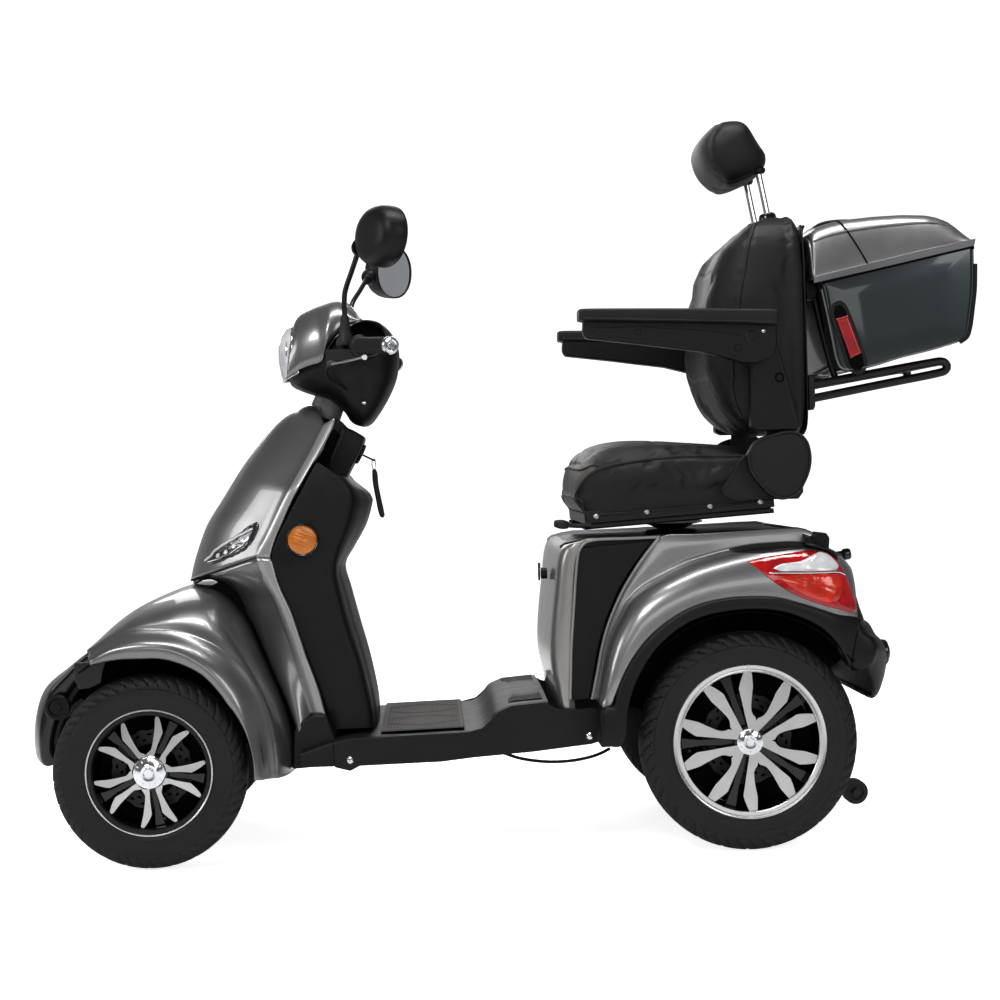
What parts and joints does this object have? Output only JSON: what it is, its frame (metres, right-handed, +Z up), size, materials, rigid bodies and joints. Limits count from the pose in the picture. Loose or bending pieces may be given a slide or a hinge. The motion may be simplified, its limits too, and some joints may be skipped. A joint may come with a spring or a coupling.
{
  "type": "mobility scooter",
  "caption": "Road-size mobility scooter with a raked tiller, footwell, body-coloured mouldings, swivelling captain's seat with headrest, and a lidded luggage box behind the backrest.",
  "frame": {"origin": "on the ground, in the middle plane, under the middle of the overall length", "axes": "+X towards the rear, +Y towards the rider's right, +Z up; the front faces -X"},
  "size_m": [1.828, 0.812, 1.389],
  "materials": {
    "frame_paint": "satin black powder coat",
    "body_paint": "metallic gun-metal lacquer",
    "front_panel_paint": "warm grey metallic lacquer",
    "box_paint": "dark teal-grey metallic lacquer",
    "black_gloss": "gloss black",
    "black_plastic": "fine-grained satin black",
    "mat_rubber": "ribbed dark rubber",
    "clear_lens": "clear moulded lens",
    "amber_lens": "amber prismatic",
    "red_lens": "red moulded lens",
    "steel": "bright plated",
    "cast_alloy": "as cast",
    "tyre": "dark rubber",
    "alloy_rim": "machined faces over black lacquer",
    "leatherette": "black leatherette with piping"
  },
  "bodies": {
    "chassis": {"main_frame": "frame_paint", "front_bumper": "black_gloss", "front_hood": "body_paint", "front_shield": "body_paint", "shield_lamps": "clear_lens", "inner_leg_shield": "black_plastic", "side_reflectors": "amber_lens", "floor_pan": "black_plastic", "floor_mat": "mat_rubber", "power_pack": "black_plastic", "rear_body_shell": "front_panel_paint", "side_panels": "black_plastic", "rear_fenders": "body_paint", "arch_lips": "black_plastic", "tail_lamps": "red_lens", "rear_bumper": "black_plastic", "body_screws": "steel", "seat_post": "frame_paint", "transaxle": "cast_alloy", "anti_tip_arms": "frame_paint"},
    "tiller": {"steering_column": "frame_paint", "head_cowl": "black_gloss", "headlight_lens": "clear_lens", "grips": "mat_rubber", "mirror_stems": "black_plastic"},
    "mirror_l": {"mirror_left": "black_gloss"},
    "mirror_r": {"mirror_right": "black_gloss"},
    "brake": {"brake_lever": "steel"},
    "throttle": {"throttle_lever": "black_plastic"},
    "key": {"ignition_key": "black_plastic"},
    "cap": {"charge_cap": "black_gloss"},
    "pitman": {"pitman_arm": "frame_paint"},
    "knuckle_l": {"knuckle_left": "frame_paint"},
    "knuckle_r": {"knuckle_right": "frame_paint"},
    "rod_l": {"tie_rod_left": "steel"},
    "rod_r": {"tie_rod_right": "steel"},
    "wheel_fl": {"tyre_front_left": "tyre", "rim_front_left": "alloy_rim"},
    "wheel_fr": {"tyre_front_right": "tyre", "rim_front_right": "alloy_rim"},
    "wheel_rl": {"tyre_rear_left": "tyre", "rim_rear_left": "alloy_rim"},
    "wheel_rr": {"tyre_rear_right": "tyre", "rim_rear_right": "alloy_rim"},
    "roller_l": {"roller_left": "mat_rubber"},
    "roller_r": {"roller_right": "mat_rubber"},
    "seat_turn": {"seat_base": "frame_paint"},
    "seat_slide": {"seat_pan": "frame_paint", "seat_cushion": "leatherette", "recliner_covers": "leatherette"},
    "seat_handle": {"seat_lever": "black_plastic"},
    "seat_back": {"backrest_frame": "frame_paint", "backrest_cushion": "leatherette", "rack": "frame_paint", "box_body": "box_paint", "box_reflectors": "red_lens"},
    "arm_l": {"armrest_left": "leatherette"},
    "arm_r": {"armrest_right": "leatherette"},
    "head": {"headrest": "leatherette"},
    "lid": {"box_lid": "body_paint"}
  },
  "joints": [
    {"name": "steering", "type": "hinge", "parent": "chassis", "child": "tiller", "pos_m": [-0.333, 0, 0.858], "axis": [0.3746, 0, 0.9272], "range_deg": [-30, 30]},
    {"name": "pitman_turn", "type": "hinge", "parent": "chassis", "child": "pitman", "pos_m": [-0.607, 0, 0.18], "axis": [0, 0, 1], "range_deg": [-31, 31]},
    {"name": "kingpin_left", "type": "hinge", "parent": "chassis", "child": "knuckle_l", "pos_m": [-0.664, -0.23, 0.181], "axis": [0, 0, 1], "range_deg": [-31, 31]},
    {"name": "kingpin_right", "type": "hinge", "parent": "chassis", "child": "knuckle_r", "pos_m": [-0.664, 0.23, 0.181], "axis": [0, 0, 1], "range_deg": [-31, 31]},
    {"name": "tie_rod_left_pivot", "type": "hinge", "parent": "pitman", "child": "rod_l", "pos_m": [-0.527, 0, 0.144], "axis": [0, 0, 1], "range_deg": [-32, 32]},
    {"name": "tie_rod_right_pivot", "type": "hinge", "parent": "pitman", "child": "rod_r", "pos_m": [-0.527, 0, 0.132], "axis": [0, 0, 1], "range_deg": [-32, 32]},
    {"name": "wheel_front_left", "type": "hinge", "parent": "knuckle_l", "child": "wheel_fl", "pos_m": [-0.664, -0.29, 0.181], "axis": [0, 1, 0], "continuous": true},
    {"name": "wheel_front_right", "type": "hinge", "parent": "knuckle_r", "child": "wheel_fr", "pos_m": [-0.664, 0.29, 0.181], "axis": [0, 1, 0], "continuous": true},
    {"name": "wheel_rear_left", "type": "hinge", "parent": "chassis", "child": "wheel_rl", "pos_m": [0.437, -0.29, 0.203], "axis": [0, 1, 0], "continuous": true},
    {"name": "wheel_rear_right", "type": "hinge", "parent": "chassis", "child": "wheel_rr", "pos_m": [0.437, 0.29, 0.203], "axis": [0, 1, 0], "continuous": true},
    {"name": "anti_tip_left", "type": "hinge", "parent": "chassis", "child": "roller_l", "pos_m": [0.651, -0.212, 0.088], "axis": [0, 1, 0], "continuous": true},
    {"name": "anti_tip_right", "type": "hinge", "parent": "chassis", "child": "roller_r", "pos_m": [0.651, 0.212, 0.088], "axis": [0, 1, 0], "continuous": true},
    {"name": "mirror_left_tilt", "type": "hinge", "parent": "tiller", "child": "mirror_l", "pos_m": [-0.258, -0.27, 1.13], "axis": [0, 0, 1], "range_deg": [-20, 20]},
    {"name": "mirror_right_tilt", "type": "hinge", "parent": "tiller", "child": "mirror_r", "pos_m": [-0.258, 0.27, 1.13], "axis": [0, 0, 1], "range_deg": [-20, 20]},
    {"name": "brake_lever_pull", "type": "hinge", "parent": "tiller", "child": "brake", "pos_m": [-0.318, -0.182, 0.925], "axis": [0, 0, 1], "range_deg": [0, 14], "stiffness_Nm_per_rad": 4},
    {"name": "throttle_lever_pull", "type": "hinge", "parent": "tiller", "child": "throttle", "pos_m": [-0.318, 0.182, 0.925], "axis": [0, 0, 1], "range_deg": [-14, 0], "stiffness_Nm_per_rad": 4},
    {"name": "key_turn", "type": "hinge", "parent": "chassis", "child": "key", "pos_m": [-0.279, 0, 0.757], "axis": [0.891, 0, -0.454], "range_deg": [0, 90]},
    {"name": "charge_cap_hinge", "type": "hinge", "parent": "chassis", "child": "cap", "pos_m": [0.0695, -0.1, 0.533], "axis": [0, 1, 0], "range_deg": [0, 100]},
    {"name": "seat_swivel", "type": "hinge", "parent": "chassis", "child": "seat_turn", "pos_m": [0.34, 0, 0.5], "axis": [0, 0, 1], "range_deg": [-90, 90]},
    {"name": "seat_slide_joint", "type": "slide", "parent": "seat_turn", "child": "seat_slide", "axis": [0.9981, 0, 0.061], "range_m": [-0.06, 0]},
    {"name": "seat_lever_lift", "type": "hinge", "parent": "seat_slide", "child": "seat_handle", "pos_m": [0.16, -0.222, 0.606], "axis": [0, 1, 0], "range_deg": [0, 12]},
    {"name": "backrest_recline", "type": "hinge", "parent": "seat_slide", "child": "seat_back", "pos_m": [0.517, 0, 0.708], "axis": [0, 1, 0], "range_deg": [-24, 0]},
    {"name": "armrest_left_lift", "type": "hinge", "parent": "seat_back", "child": "arm_l", "pos_m": [0.49, -0.27, 0.945], "axis": [0, 1, 0], "range_deg": [0, 85]},
    {"name": "armrest_right_lift", "type": "hinge", "parent": "seat_back", "child": "arm_r", "pos_m": [0.49, 0.27, 0.945], "axis": [0, 1, 0], "range_deg": [0, 85]},
    {"name": "headrest_height", "type": "slide", "parent": "seat_back", "child": "head", "axis": [-0.1846, 0, 0.9828], "range_m": [-0.04, 0.04]},
    {"name": "box_lid_open", "type": "hinge", "parent": "seat_back", "child": "lid", "pos_m": [0.908, 0, 1.098], "axis": [0, 1, 0], "range_deg": [0, 70]}
  ],
  "couplings": [
    {"joint": "pitman_turn", "follows": "steering", "ratio": 1},
    {"joint": "kingpin_left", "follows": "steering", "ratio": 1},
    {"joint": "kingpin_right", "follows": "steering", "ratio": 1},
    {"joint": "tie_rod_left_pivot", "follows": "steering", "ratio": -1},
    {"joint": "tie_rod_right_pivot", "follows": "steering", "ratio": -1}
  ]
}
